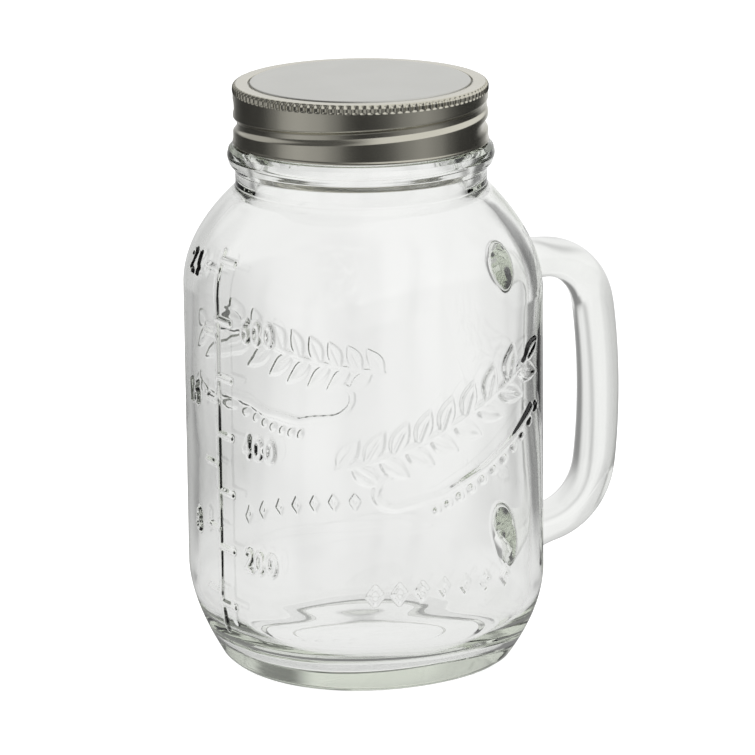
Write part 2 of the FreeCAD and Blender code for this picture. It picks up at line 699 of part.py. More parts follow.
def segment(sketch, across, up, radius, edge):
    """Part of a disc on the axis side of an upright edge."""
    half = math.sqrt(float(radius) ** 2 - (float(across) - float(edge)) ** 2)
    centre = Vector(float(across), float(up), 0)
    low = Vector(float(edge), float(up) - half, 0)
    high = Vector(float(edge), float(up) + half, 0)
    start = math.atan2(high.y - centre.y, high.x - centre.x)
    end = math.atan2(low.y - centre.y, low.x - centre.x) + 2 * math.pi
    circle = Part.Circle(centre, UP, float(radius))
    sketch.addGeometry(Part.ArcOfCircle(circle, start, end), False)
    sketch.addGeometry(Part.LineSegment(low, high), False)
    sketch.addConstraint(Sketcher.Constraint("Coincident", 0, 2, 1, 1))
    sketch.addConstraint(Sketcher.Constraint("Coincident", 0, 1, 1, 2))
    sketch.addConstraint(Sketcher.Constraint("Vertical", 1))
    place_point(sketch, 0, 3, across, up)
    held = sketch.addConstraint(Sketcher.Constraint("Radius", 0, float(radius)))
    bind(sketch, f"Constraints[{held}]", as_size(radius))
    held = sketch.addConstraint(Sketcher.Constraint("DistanceX", -1, 1, 1, 1, float(edge)))
    bind(sketch, f"Constraints[{held}]", as_size(edge))


def knurl(body, belt_bottom):
    """Scallops round the belt, each open at the top edge and run out below."""
    tool = cell("knurl_tool")
    middle = BAND_RADIUS - cell("knurl_depth") + tool
    sketch = sketch_on(body, "XZ_Plane", "scallop_profile")
    outline(sketch, [
        (middle, belt_bottom),
        (middle, BAND_TOP + PASS),
        (middle - tool, BAND_TOP + PASS),
        (middle - tool, belt_bottom + cell("knurl_run_out")),
    ])
    axis = sketch.addGeometry(Part.LineSegment(
        Vector(float(middle), float(belt_bottom), 0), Vector(float(middle), float(BAND_TOP), 0)), True)
    sketch.addConstraint(Sketcher.Constraint("Coincident", axis, 1, 0, 1))
    sketch.addConstraint(Sketcher.Constraint("PointOnObject", axis, 2, 0))
    scallop = body.newObject("PartDesign::Groove", "scallop")
    scallop.Profile = sketch
    scallop.ReferenceAxis = (sketch, ["Axis0"])
    scallop.Angle = 360.0
    around_axis(body, [scallop], "scallops", cell("knurl_count"))


def lid_disc():
    """Stamped disc with a raised centre panel."""
    body = doc.addObject("PartDesign::Body", "lid_disc")
    profile = sketch_on(body, "XZ_Plane", "disc_profile")
    corner = cell("disc_corner")
    sheet_thickness = cell("disc_sheet")
    panel_top = DISC_RIM_TOP + cell("panel_rise")
    outline(profile, [
        (0, panel_top - sheet_thickness),
        (PANEL_RADIUS - corner, panel_top - sheet_thickness),
        (PANEL_RADIUS - sheet_thickness, panel_top - corner),
        (PANEL_RADIUS - sheet_thickness, SEAL_TOP),
        (DISC_RADIUS, SEAL_TOP),
        (DISC_RADIUS, DISC_RIM_TOP),
        (PANEL_RADIUS, DISC_RIM_TOP),
        (PANEL_RADIUS, panel_top - corner, corner),
        (PANEL_RADIUS - corner, panel_top),
        (0, panel_top),
    ])
    revolve(body, profile)
    return body


def sealing_ring():
    """Flat rubber ring bonded under the disc's rim."""
    body = doc.addObject("PartDesign::Body", "sealing_ring")
    profile = sketch_on(body, "XZ_Plane", "seal_profile")
    bulge = cell("seal_thickness") * 0.6
    outer = SEAL_INNER + cell("seal_width")
    outline(profile, [
        (SEAL_INNER, RIM),
        (outer, RIM, bulge),
        (outer, SEAL_TOP),
        (SEAL_INNER, SEAL_TOP, bulge),
    ])
    revolve(body, profile)
    return body


def finish(parts):
    """Recompute, check every object and write one STEP file for each piece."""
    doc.recompute()
    for item in doc.Objects:
        if "Invalid" in item.State or "Error" in item.State:
            raise RuntimeError(f"{item.Name} did not build: {item.State}")
    for piece in parts:
        shape = piece.Shape
        if shape.isNull() or not shape.isValid() or not shape.Solids:
            raise RuntimeError(f"{piece.Label} has no sound solid")
    os.makedirs("parts", exist_ok=True)
    for piece in parts:
        piece.Shape.exportStep(os.path.join("parts", f"{piece.Label}.step"))
        box = piece.Shape.BoundBox
        print(f"{piece.Label}: {piece.Shape.Volume / 1000:.2f} cm3,"
              f" z {box.ZMin:.2f} to {box.ZMax:.2f}, {len(piece.Shape.Faces)} faces")


finish([glass_jar(), lid_disc(), sealing_ring(), screw_band()])
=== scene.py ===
import math

import bpy
import numpy as np
from mathutils import Matrix, Vector


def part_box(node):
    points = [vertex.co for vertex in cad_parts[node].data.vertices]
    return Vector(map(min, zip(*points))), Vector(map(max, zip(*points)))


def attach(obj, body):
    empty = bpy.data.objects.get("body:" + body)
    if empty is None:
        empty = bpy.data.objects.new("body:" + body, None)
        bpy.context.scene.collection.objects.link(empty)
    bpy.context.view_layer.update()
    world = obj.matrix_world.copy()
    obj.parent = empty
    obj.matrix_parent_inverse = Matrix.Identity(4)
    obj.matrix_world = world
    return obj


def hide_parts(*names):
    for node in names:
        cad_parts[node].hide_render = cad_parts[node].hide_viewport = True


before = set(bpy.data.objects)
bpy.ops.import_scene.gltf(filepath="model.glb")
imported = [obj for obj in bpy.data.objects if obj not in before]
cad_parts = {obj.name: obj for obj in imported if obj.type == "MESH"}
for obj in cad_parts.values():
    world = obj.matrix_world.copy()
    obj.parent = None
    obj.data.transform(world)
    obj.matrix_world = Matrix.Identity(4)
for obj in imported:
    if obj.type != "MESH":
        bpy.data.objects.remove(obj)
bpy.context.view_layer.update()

# Sizes are in millimetres until a mesh is made.
MM = 0.001


def span(node):
    """Lowest height, highest height and outer radius of a CAD node, in millimetres."""
    low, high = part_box(node)
    return low.z / MM, high.z / MM, high.y / MM


_, RIM, _ = span("glass_jar")
BAND_BOTTOM, BAND_TOP, BAND_RADIUS = span("screw_band")
DISC_BOTTOM, DISC_TOP, DISC_RADIUS = span("lid_disc")
SEAL_BOTTOM, SEAL_TOP, SEAL_RADIUS = span("sealing_ring")

# outside of the body
BODY_RADIUS = 50.1        # mean of the corners' and the faces' half-widths
SQUARENESS = 1.9          # how far corners stand out and faces draw in
HEEL_HEIGHT = 26.7
HEEL_INSET = 9.4
HEEL_CURVE = 1.85
FOOT_ROUND = 1.2          # height of the rounding under the heel
FOOT_ROUNDNESS = 0.7      # share of the squareness lost at the foot
SHOULDER_START = 109.0
SHOULDER_TOP = 138.0
SHOULDER_TUCK = 0.4       # how far the shoulder's top lies inside the neck
SHOULDER_CURVE = 2.03
# underside
PUSH_UP = 1.8             # height of the underside's middle
PUSH_UP_EDGE = 1.3        # and of the stretch round it
STANDING_RADIUS = 34.0    # inner edge of the ring that the jar stands on
FOOT_SQUARENESS = SQUARENESS * (1 - FOOT_ROUNDNESS)
# inside
WALL = 4.4
FLOOR = 6.8
INNER_SQUARENESS = 2.1
INNER_HEEL_RISE = 17.0
INNER_HEEL_INSET = 9.0
INNER_HEEL_CURVE = 2.4
HOLLOW_DROP = 0.88        # how far the hollow's shoulder lies below the outer one
THROAT_LIP = 1.0          # how far the inside closes under the mouth's bore
# neck and thread
NECK_RADIUS = 35.6
BEAD_BOTTOM = 142.4
BEAD_TOP = 149.6
FINISH_RADIUS = 33.6
BORE_RADIUS = 30.0
RIDGE_PROUD = 1.5         # height of the glass thread
GROOVE_DEPTH = 1.05       # depth of the grooves rolled into the band
LEAD = 10.16              # rise in one turn, shared by two starts
THREAD_DROP = 7.2         # rim down to the band's groove at the reference angle
REFERENCE_ANGLE = -117.0
# handle, with the upper arm before the lower one
ARM_HEIGHTS = (109.6, 27.6)
ARM_START = 46.0          # where its middle line starts, inside the wall
LOWER_ARM_FROM = 45.9     # where the sloping lower arm is at its stated height
LOWER_ARM_SLOPE = 8.0     # degrees
BENDS = (17.0, 19.0)      # radii between the arms and the grip
GRIP_REACH = 77.1
GRIP_BOW = 190.0          # radius of the grip's outward bow
BAR_WIDE, BAR_TALL = 7.3, 5.8             # half the bar's width and thickness
ROOT_WIDE, ROOT_TALL = 8.3, (7.2, 9.5)    # the same where the arms meet the body
ROOT_FILLET = 1.6
# mesh cells left open for an arm: how far below it they start, how many rows, and the columns
OPENING_BELOW = 12.6
OPENING_ROWS = 56
OPENING_COLUMNS = (4, 24)
# raised figures
RELIEF = 0.6
ARC_RADIUS = 50.0         # turns an angle on the body into a distance along it
RULE_TURN = 5.5           # degrees the measuring line stands off its face's middle
DIGIT_TALL, DIGIT_WIDE, DIGIT_PITCH = 5.7, 3.0, 4.3
# screw band
SHEET = 0.4
LIP_RADIUS = 31.6         # opening in the flange
BAND_CORNER = 1.3         # rounding between skirt and flange
BELT_TOP = BAND_TOP - BAND_CORNER
BELT_BOTTOM = BELT_TOP - 1.2
SKIRT_INSET = 0.18        # how far the skirt lies inside the belt
SCALLOPS = 107
SCALLOP_DEPTH = 0.58


# ---------------------------------------------------------------- shapes

def smooth_step(value):
    """0 below 0, 1 above 1, and an even S between."""
    value = np.clip(value, 0.0, 1.0)
    return value * value * (3 - 2 * value)


def rounded(corners, steps=6):
    """Points (radius, height) along corners (radius, height, rounding)."""
    points = []
    for index, (across, up, size) in enumerate(corners):
        here = np.array((across, up))
        if size == 0 or index in (0, len(corners) - 1):
            points.append(here)
            continue
        back = np.array(corners[index - 1][:2]) - here
        ahead = np.array(corners[index + 1][:2]) - here
        back /= np.linalg.norm(back)
        ahead /= np.linalg.norm(ahead)
        half = math.acos(float(np.clip(back @ ahead, -1, 1))) / 2
        reach = size / math.tan(half)
        start, end = here + back * reach, here + ahead * reach
        points += [swept(start, here, end, step / steps) for step in range(steps + 1)]
    return points


def swept(start, corner, end, t):
    """Point, at t from 0 to 1, of the smooth curve from start to end that bends round a corner."""
    return (1 - t) ** 2 * start + 2 * t * (1 - t) * corner + t ** 2 * end


def filled(points, spacing):
    """The same run of points with no gap wider than the spacing."""
    result = [points[0]]
    for after in points[1:]:
        before = result[-1]
        count = max(1, math.ceil(np.linalg.norm(after - before) / spacing))
        result += [before + (after - before) * (k / count) for k in range(1, count + 1)]
    return result


def ring(angles, radius, height, squareness=0.0):
    """Points round the axis, pushed out at the corners and in at the faces."""
    reach = radius - squareness * np.cos(4 * angles)
    level = np.full_like(angles, height)
    return np.stack([reach * np.cos(angles), reach * np.sin(angles), level], 1)


def around(loop):
    """Each member of a closed loop with the next one."""
    return zip(loop, loop[1:] + loop[:1])


class Skin:
    """A mesh made ring by ring."""

    def __init__(self):
        self.points = []
        self.count = 0
        self.faces = []

    def add(self, ring_points):
        """Add a ring of points; returns its numbers."""
        self.points.append(np.asarray(ring_points, float))
        first = self.count
        self.count += len(ring_points)
        return list(range(first, self.count))

    def join(self, low, high, skip=()):
        """Faces between two closed rings: one point, as many points, or half or twice as many."""
        if len(low) == 1:
            self.faces += [(low[0], b, a) for a, b in around(high)]
        elif len(high) == 1:
            self.faces += [(a, b, high[0]) for a, b in around(low)]
        elif len(low) == len(high):
            cells = enumerate(zip(around(low), around(high)))
            self.faces += [(a, b, d, c) for cell, ((a, b), (c, d)) in cells if cell not in skip]
        else:
            fine, coarse = (low, high) if len(low) > len(high) else (high, low)
            for k, (d, e) in enumerate(around(coarse)):
                a, b, c = fine[2 * k], fine[2 * k + 1], fine[(2 * k + 2) % len(fine)]
                faces = [(a, b, d), (b, e, d), (b, c, e)]
                self.faces += faces if fine is low else [face[::-1] for face in faces]

    def chain(self, rings, closed=False):
        """Join each ring, given by its numbers, to the next."""
        for low, high in zip(rings, rings[1:]):
            self.join(low, high)
        if closed:
            self.join(rings[-1], rings[0])

    def make(self, name, body, node, slot, material):
        """The finished object, in metres, riding on its CAD body."""
        mesh = bpy.data.meshes.new(name)
        mesh.from_pydata((np.concatenate(self.points) * MM).tolist(), [], self.faces)
        mesh.validate()
        mesh.shade_smooth()
        mesh.materials.append(material)
        piece = bpy.data.objects.new(name, mesh)
        bpy.context.scene.collection.objects.link(piece)
        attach(piece, body)
        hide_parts(node)


# ---------------------------------------------------------------- raised figures

def arc(centre, reach, start, end, steps=14):
    """Points along part of an oval, angles in degrees."""
    turns = np.radians(np.linspace(start, end, steps + 1))
    return [(centre[0] + reach[0] * math.cos(t), centre[1] + reach[1] * math.sin(t)) for t in turns]


# Strokes of each figure in a box one wide and one tall.
DIGITS = {
    "0": [arc((0.5, 0.5), (0.40, 0.5), 0, 360, 20)],
    "1": [[(0.22, 0.78), (0.56, 1.0), (0.56, 0.0)]],
    "2": [arc((0.5, 0.72), (0.38, 0.28), 165, -35) + [(0.1, 0.0), (0.92, 0.0)]],
    "4": [[(0.72, 0.0), (0.72, 1.0), (0.05, 0.3), (0.98, 0.3)]],
    "6": [arc((0.5, 0.3), (0.38, 0.3), 0, 360, 18), arc((0.82, 0.3), (0.70, 0.70), 180, 95, 8)],
    "8": [arc((0.5, 0.75), (0.32, 0.25), 0, 360, 16), arc((0.5, 0.26), (0.40, 0.26), 0, 360, 16)],
}


def distance_to(across, up, path):
    """Distance of every point to a path of straight runs."""
    best = np.full(across.shape, np.inf)
    for (x0, y0), (x1, y1) in zip(path, path[1:]):
        dx, dy = x1 - x0, y1 - y0
        t = np.clip(((across - x0) * dx + (up - y0) * dy) / (dx * dx + dy * dy), 0, 1)
        best = np.minimum(best, np.hypot(across - x0 - t * dx, up - y0 - t * dy))
    return best


def raised(distance, width, height=RELIEF, edge=0.55):
    """Height of a rounded stroke at a distance from its middle line."""
    return height * smooth_step((width / 2 + edge / 2 - distance) / edge)


def numeral(across, up, text, left, foot):
    """Raised figures side by side."""
    height = np.zeros(across.shape)
    for index, digit in enumerate(text):
        start = left + index * DIGIT_PITCH
        for path in DIGITS[digit]:
            run = [(start + x * DIGIT_WIDE, foot + y * DIGIT_TALL) for x, y in path]
            height = np.maximum(height, raised(distance_to(across, up, run), 1.4, 0.75, 0.45))
    return height


def rule_relief(across, up):
    """Upright line, marks both ways and the number at every second mark."""
    across = across - math.radians(RULE_TURN) * ARC_RADIUS
    height = raised(distance_to(across, up, [(0, 14.5), (0, 123.5)]), 2.3, 0.45, 0.7)
    # side of the line, height of the second mark, spacing, count in two marks, number of marks
    for side, first, pitch, step, marks in ((1, 39.0, 16.5, 200, 7), (-1, 44.0, 18.7, 8, 6)):
        for index in range(marks):
            level = first + pitch * (index - 1)
            mark = distance_to(across, up, [(0, level), (side * 7.6, level)])
            height = np.maximum(height, raised(mark, 1.5, edge=0.45))
            if index % 2:
                text = str(step * (index + 1) // 2)
                gap = DIGIT_PITCH - DIGIT_WIDE
                left = 13.4 if side > 0 else gap - 13.0 - DIGIT_PITCH * len(text)
                height = np.maximum(height, numeral(across, up, text, left, level - 3.5))
    return height


def leaf(across, up, foot, angle, length, width):
    """Raised pointed leaf with a sunk vein."""
    turn = math.radians(angle)
    along = (across - foot[0]) * math.cos(turn) + (up - foot[1]) * math.sin(turn)
    aside = (up - foot[1]) * math.cos(turn) - (across - foot[0]) * math.sin(turn)
    share = np.clip(along / length, 0.0, 1.0)
    half = width / 2 * np.sin(math.pi * share ** 0.85)
    inside = smooth_step((half - np.abs(aside)) / 0.6)
    inside *= (along > 0) & (along < length)
    vein = smooth_step((0.55 - np.abs(aside)) / 0.5) * smooth_step((length * 0.8 - along) / 3)
    return inside * (RELIEF - 0.35 * vein)


def sprig_relief(across, up):
    """Leafy sprig rising to one side, a ribbon, a row of berries and a row of lozenges."""
    stem = [(-31 + 7.6 * k, 68 + 1.0 * k + 0.25 * k * k) for k in range(9)]
    shapes = [raised(distance_to(across, up, stem), 1.3)]
    for before, foot in zip(stem, stem[1:]):
        slope = math.degrees(math.atan2(foot[1] - before[1], foot[0] - before[0]))
        between = ((before[0] + foot[0]) / 2, (before[1] + foot[1]) / 2)
        shapes.append(leaf(across, up, before, slope + 46, 11.0, 5.6))
        shapes.append(leaf(across, up, between, slope - 46, 11.0, 5.6))
    shapes.append(leaf(across, up, stem[-1], slope + 4, 9.0, 5.0))
    ribbon = arc((-14.5, 60.5), (6.0, 4.5), 110, 290, 12)
    ribbon += [(0.0, 58.0), (14.0, 64.0), (25.0, 71.0), (33.0, 77.5)]
    shapes.append(raised(distance_to(across, up, ribbon), 2.0))
    for k in range(11):
        berry = (-2.0 + 3.8 * k, 54 + 1.2 * k + 0.11 * k * k)
        shapes.append(raised(np.hypot(across - berry[0], up - berry[1]), 2.3))
    for k in range(7):
        # 0 in the middle of a lozenge and 1 at its edge
        out = np.abs(across + 21.0 - 7.0 * k) / 2.3 + np.abs(up - 31.0) / 3.4
        shapes.append(0.65 * smooth_step((1 - out) / 0.3) - 0.45 * smooth_step((0.45 - out) / 0.3))
    return np.maximum(np.max(shapes, axis=0), 0)


def relief(angles, height):
    """Everything that stands out on the body's outside."""
    total = np.zeros(np.broadcast(angles, height).shape)
    # the face's heading in degrees, its figures and half their width
    faces = ((180, rule_relief, 36), (90, sprig_relief, 42), (270, sprig_relief, 42))
    for face, shape, half in faces:
        offset = (np.degrees(angles) - face + 180) % 360 - 180
        across = np.broadcast_to(np.radians(offset) * ARC_RADIUS, total.shape)
        up = np.broadcast_to(height, total.shape)
        near = np.abs(across) < half
        total[near] = np.maximum(total[near], shape(across[near], up[near]))
    return total


# ---------------------------------------------------------------- the glass jar

def body_size(height):
    """Radius and squareness of the outside at a height."""
    radius, square = BODY_RADIUS, SQUARENESS
    if height < HEEL_HEIGHT:
        closing = (1 - height / HEEL_HEIGHT) ** HEEL_CURVE
        radius -= HEEL_INSET * closing
        square *= 1 - FOOT_ROUNDNESS * closing
    elif height > SHOULDER_START:
        share = (height - SHOULDER_START) / (SHOULDER_TOP - SHOULDER_START)
        radius -= (BODY_RADIUS - NECK_RADIUS + SHOULDER_TUCK) * share ** SHOULDER_CURVE
        square *= 1 - share
    return radius, square


def inside_size(height):
    """Radius and squareness of the inside at a height."""
    radius, square = BODY_RADIUS - WALL, INNER_SQUARENESS
    heel = (height - FLOOR) / INNER_HEEL_RISE
    share = (height - SHOULDER_START + HOLLOW_DROP) / (SHOULDER_TOP - SHOULDER_START)
    if heel < 1:
        closing = (1 - heel) ** INNER_HEEL_CURVE
        radius -= INNER_HEEL_INSET * closing
        square *= 1 - FOOT_ROUNDNESS * closing
    elif share > 0:
        radius -= (radius - BORE_RADIUS + THROAT_LIP) * share ** SHOULDER_CURVE
        square *= 1 - share
    return radius, square


def column_angles():
    """Angles of the mesh's columns: close together under the raised figures."""
    zones = ((-18, 18, 28), (18, 40, 22), (40, 140, 194), (140, 147, 8), (147, 220, 142),
             (220, 320, 194), (320, 342, 30))
    parts = [np.linspace(start, end, count, endpoint=False) for start, end, count in zones]
    return np.radians(np.concatenate(parts))


def wander(angles, height, size):
    """Slow unevenness of hot-formed glass, in millimetres."""
    return size * (0.45 * np.sin(3 * angles + height * 0.055 + 0.7)
                   + 0.35 * np.sin(5 * angles - height * 0.09 + 2.1)
                   + 0.30 * np.sin(2 * angles + height * 0.14 + 4.0))


def two_starts(angles, height, lead_in, length, run_out, rise=0.0):
    """For both starts of a thread: how full it is, by its ends, and the distance to its middle.

    In degrees: lead_in from its lower end to the reference angle, length from end to
    end, and run_out over which each end fades. rise lifts its middle line.
    """
    for first in (REFERENCE_ANGLE - lead_in, REFERENCE_ANGLE - lead_in + 180):
        turned = (np.degrees(angles) - first) % 360
        middle = RIM - THREAD_DROP + rise + LEAD * (turned - lead_in) / 360
        full = smooth_step(turned / run_out) * smooth_step((length - turned) / run_out)
        yield full, np.abs(height - middle)


def thread_height(angles, height):
    """Radial height of the two glass thread ridges."""
    return RIDGE_PROUD * np.max([full * smooth_step((1.45 - aside) / 0.9) for full, aside in
                                 two_starts(angles, height, 167.5, 215, 12, LEAD / 4)], axis=0)


def underside_rings(angles):
    """From the middle of the underside out to the foot, squarer towards the foot."""
    foot, _ = body_size(FOOT_ROUND)
    corners = [(1.5, PUSH_UP, 0), (21.9, PUSH_UP, 0.4), (22.5, PUSH_UP_EDGE, 0.4),
               (32.0, PUSH_UP_EDGE, 1.0), (STANDING_RADIUS, 0.0, 0.8), (39.9, 0.0, 1.0),
               (foot, FOOT_ROUND, 0)]
    rings = [ring(angles, 0.0, PUSH_UP)[:1]]
    for across, up in filled(rounded(corners), 1.6)[:-1]:
        share = np.clip((across - STANDING_RADIUS) / 7, 0, 1)
        rings.append(ring(angles, across, up, FOOT_SQUARENESS * share))
    return rings


def neck_rings(angles):
    """From the shoulder's top over the bead and the thread to the inside of the mouth."""
    start, throat = SHOULDER_TOP - 2, SHOULDER_TOP - 5
    corners = [(body_size(start)[0], start, 0), (NECK_RADIUS, SHOULDER_TOP, 1.5),
               (NECK_RADIUS, BEAD_BOTTOM, 0.8), (37.2, BEAD_BOTTOM + 1.9, 1.6),
               (37.9, BEAD_BOTTOM + 4.2, 3.0), (37.4, BEAD_TOP - 1.1, 0.3),
               (36.3, BEAD_TOP, 0.25), (FINISH_RADIUS, BEAD_TOP, 0.6),
               (FINISH_RADIUS, RIM, 1.1), (BORE_RADIUS, RIM, 1.1),
               (BORE_RADIUS, SHOULDER_TOP - 1.7, 3.0), (inside_size(throat)[0], throat, 0)]
    rings = []
    for across, up in filled(rounded(corners), 0.55)[1:-1]:
        threaded = up > BEAD_TOP + 0.3 and across > FINISH_RADIUS - 0.05
        rings.append(ring(angles, across + threaded * thread_height(angles, up), up))
    return rings


def inside_rings(angles):
    """Down the inside wall, then across the floor to its middle."""
    rings = []
    wall, heel = np.arange(SHOULDER_TOP - 6, 30, -1.6), np.arange(30, FLOOR + 0.6, -0.8)
    for up in np.concatenate([wall, heel]):
        radius, square = inside_size(up)
        fade = smooth_step((SHOULDER_TOP - 8 - up) / 20)
        rings.append(ring(angles, radius + wander(angles, up, 0.35) * fade, up, square))
    edge, _ = inside_size(FLOOR + 0.6)
    floor_radius, floor_square = inside_size(FLOOR)
    corners = [(edge, FLOOR + 0.6, 0), (edge - 2.2, FLOOR, 3.0), (1.5, FLOOR, 0)]
    for across, up in filled(rounded(corners), 1.6)[1:]:
        share = min(across / floor_radius, 1.0)
        points = ring(angles, across, up, floor_square * share)
        points[:, 2] += wander(angles, across * 2.0, 0.12) * share
        rings.append(points)
    rings.append(ring(angles, 0.0, FLOOR)[:1])
    return rings


def body_grid(angles, heights):
    """Outside of the body: height rows by angle columns, with the raised figures."""
    sizes = np.array([body_size(h) for h in heights])
    turn, up = angles[None, :], heights[:, None]
    reach = sizes[:, :1] - sizes[:, 1:] * np.cos(4 * turn)
    slope = np.gradient(sizes[:, 0], heights)[:, None]
    out = relief(turn, up) / np.sqrt(1 + slope ** 2)
    reach = reach + out
    return np.stack([reach * np.cos(turn), reach * np.sin(turn), up - out * slope], 2)


def glass_jar(material):
    """Body, threaded neck, inside and handle in one closed skin."""
    skin = Skin()
    angles = column_angles()
    every_second = angles[::2]
    # rows lie closest where the raised figures are
    heights = np.concatenate([np.arange(FOOT_ROUND, 11.0, 0.9), np.arange(11.0, 125.0, 0.45),
                              np.arange(125.0, SHOULDER_TOP - 2, 0.9)])
    underside = [skin.add(points) for points in underside_rings(every_second)]
    grid = body_grid(angles, heights)
    rows = [skin.add(row) for row in grid]
    openings = [int(np.searchsorted(heights, level - OPENING_BELOW)) for level in ARM_HEIGHTS]
    for index, (under, over) in enumerate(zip(rows, rows[1:])):
        is_open = any(first <= index < first + OPENING_ROWS for first in openings)
        skin.join(under, over, range(*OPENING_COLUMNS) if is_open else ())
    skin.chain(underside + rows[:1])
    rest = [skin.add(points) for points in neck_rings(angles) + inside_rings(every_second)]
    skin.chain(rows[-1:] + rest)
    add_handle(skin, grid, rows, openings)
    skin.make("jar_glass", "jar", "glass_jar", "clear_glass", material)


# ---------------------------------------------------------------- the handle

def handle_line():
    """Middle line of the handle, as points (distance from the axis, height), upper arm first."""
    (top, low), (upper, lower) = ARM_HEIGHTS, BENDS
    slope = math.radians(LOWER_ARM_SLOPE)
    middle = (top + low) / 2
    bow_x = GRIP_REACH - GRIP_BOW
    upper_z = top - upper
    upper_x = bow_x + math.sqrt((GRIP_BOW - upper) ** 2 - (upper_z - middle) ** 2)
    # the lower bend touches the sloping arm and the bow; a few rounds settle its centre
    lower_x = upper_x
    for _ in range(20):
        lower_z = low + (lower_x - LOWER_ARM_FROM) * math.tan(slope) + lower / math.cos(slope)
        lower_x = bow_x + math.sqrt((GRIP_BOW - lower) ** 2 - (lower_z - middle) ** 2)
    upper_turn = math.degrees(math.atan2(upper_z - middle, upper_x - bow_x))
    lower_turn = math.degrees(math.atan2(lower_z - middle, lower_x - bow_x))
    points = [(ARM_START, top)]
    points += arc((upper_x, upper_z), (upper, upper), 90, upper_turn, 25)
    points += arc((bow_x, middle), (GRIP_BOW, GRIP_BOW), upper_turn, lower_turn, 39)[1:]
    points += arc((lower_x, lower_z), (lower, lower), lower_turn, LOWER_ARM_SLOPE - 90, 25)[1:]
    points += [(ARM_START, low)]
    line = np.array(filled([np.array(point) for point in points], 1.3))
    # ease the change of curve where the arcs meet
    for _ in range(8):
        line[1:-1] = (line[:-2] + 2 * line[1:-1] + line[2:]) / 4
    return line


def on_body(across, up):
    """Point of the body's outside, on the handle's side."""
    radius, square = body_size(up)
    along = radius
    for _ in range(6):
        angle = math.atan2(across, along)
        along = math.sqrt(max((radius - square * math.cos(4 * angle)) ** 2 - across ** 2, 0))
    return np.array((along, across, up))


def bar_size(away, root_tall):
    """Half width and half thickness of the handle at a distance from the body."""
    flare = max(1 - away / 13.0, 0.0) ** 2.2
    return BAR_WIDE + (ROOT_WIDE - BAR_WIDE) * flare, BAR_TALL + (root_tall - BAR_TALL) * flare


def body_lean(points, level, away):
    """How far sections near the body follow its curve, in X."""
    keep = 1 - smooth_step(away / 11.0)
    if keep == 0:
        return 0.0
    face = on_body(0.0, level)[0]
    return keep * np.array([on_body(y, z)[0] - face for _, y, z in points])


def arm_root(skin, grid, rows, first, level, root_tall):
    """Rings from the body's opening round the fillet to the start of an arm."""
    last = first + OPENING_ROWS
    left, right = OPENING_COLUMNS
    loop = [(first, c) for c in range(left, right)]
    loop += [(r, right) for r in range(first, last)]
    loop += [(last, c) for c in range(right, left, -1)]
    loop += [(r, left) for r in range(last, first, -1)]
    edge = np.array([grid[r][c] for r, c in loop])
    half_wide, half_tall = bar_size(0.0, root_tall)
    turn = np.arctan2((edge[:, 2] - level) / half_tall, edge[:, 1] / half_wide)

    def oval(grow):
        across, up = (half_wide + grow) * np.cos(turn), (half_tall + grow) * np.sin(turn) + level
        return np.stack([across, up], 1)

    rings = [[rows[r][c] for r, c in loop]]
    # from the opening's square edge in to an oval on the body
    for share in (0.3, 0.65, 1.0):
        flat = edge[:, 1:] * (1 - share) + oval(ROOT_FILLET) * share
        on_skin = np.array([on_body(y, z) for y, z in flat])
        rings.append(skin.add(on_skin))
    # round the fillet to the arm's first section
    corner = np.array([on_body(y, z) for y, z in oval(0.0)])
    slope = math.radians(LOWER_ARM_SLOPE) if level == ARM_HEIGHTS[1] else 0.0
    end_wide, end_tall = bar_size(ROOT_FILLET, root_tall)
    mouth = corner + np.array((math.cos(slope), 0.0, math.sin(slope))) * ROOT_FILLET
    mouth[:, 1] += (end_wide - half_wide) * np.cos(turn)
    mouth[:, 2] += (end_tall - half_tall) * np.sin(turn)
    for t in (0.2, 0.4, 0.6, 0.8):
        rings.append(skin.add(swept(on_skin, corner, mouth, t)))
    skin.chain(rings)
    return rings[-1], turn


def add_handle(skin, grid, rows, openings):
    """Tube of the handle, flared into the two openings of the body."""
    (start, turn), (target, _) = [arm_root(skin, grid, rows, *arm) for arm in
                                  zip(openings, ARM_HEIGHTS, ROOT_TALL)]
    line = handle_line()
    ahead = np.gradient(line, axis=0)
    ahead /= np.linalg.norm(ahead, axis=1)[:, None]
    rings = [start]
    for index, ((x, z), (dx, dz)) in enumerate(zip(line, ahead)):
        arm = int(index >= len(line) // 2)
        level = ARM_HEIGHTS[arm]
        away = x - on_body(0.0, level)[0]
        if away < ROOT_FILLET:
            continue
        half_wide, half_tall = bar_size(away, ROOT_TALL[arm])
        aside, out = half_wide * np.cos(turn), half_tall * np.sin(turn)
        points = np.stack([x - dz * out, aside, z + dx * out], 1)
        points[:, 0] += body_lean(points, level, away)
        rings.append(skin.add(points))
    # the lower arm's loop runs the other way round, so it is reversed and turned until it lines up
    count = len(target)
    backwards = [target[-k % count] for k in range(count)]
    placed = np.concatenate(skin.points)
    turned = [np.roll(backwards, shift) for shift in range(count)]
    gaps = [np.linalg.norm(placed[rings[-1]] - placed[loop], axis=1).sum() for loop in turned]
    rings.append(turned[int(np.argmin(gaps))].tolist())
    skin.chain(rings)


# ---------------------------------------------------------------- band, disc and seal

def groove_depth(angles, height):
    """How far the two rolled grooves sink in, faded at their ends."""
    return GROOVE_DEPTH * np.max([full * smooth_step((1 - aside / 2.15) / 0.75) for full, aside in
                                  two_starts(angles, height, 120, 222, 26)], axis=0)


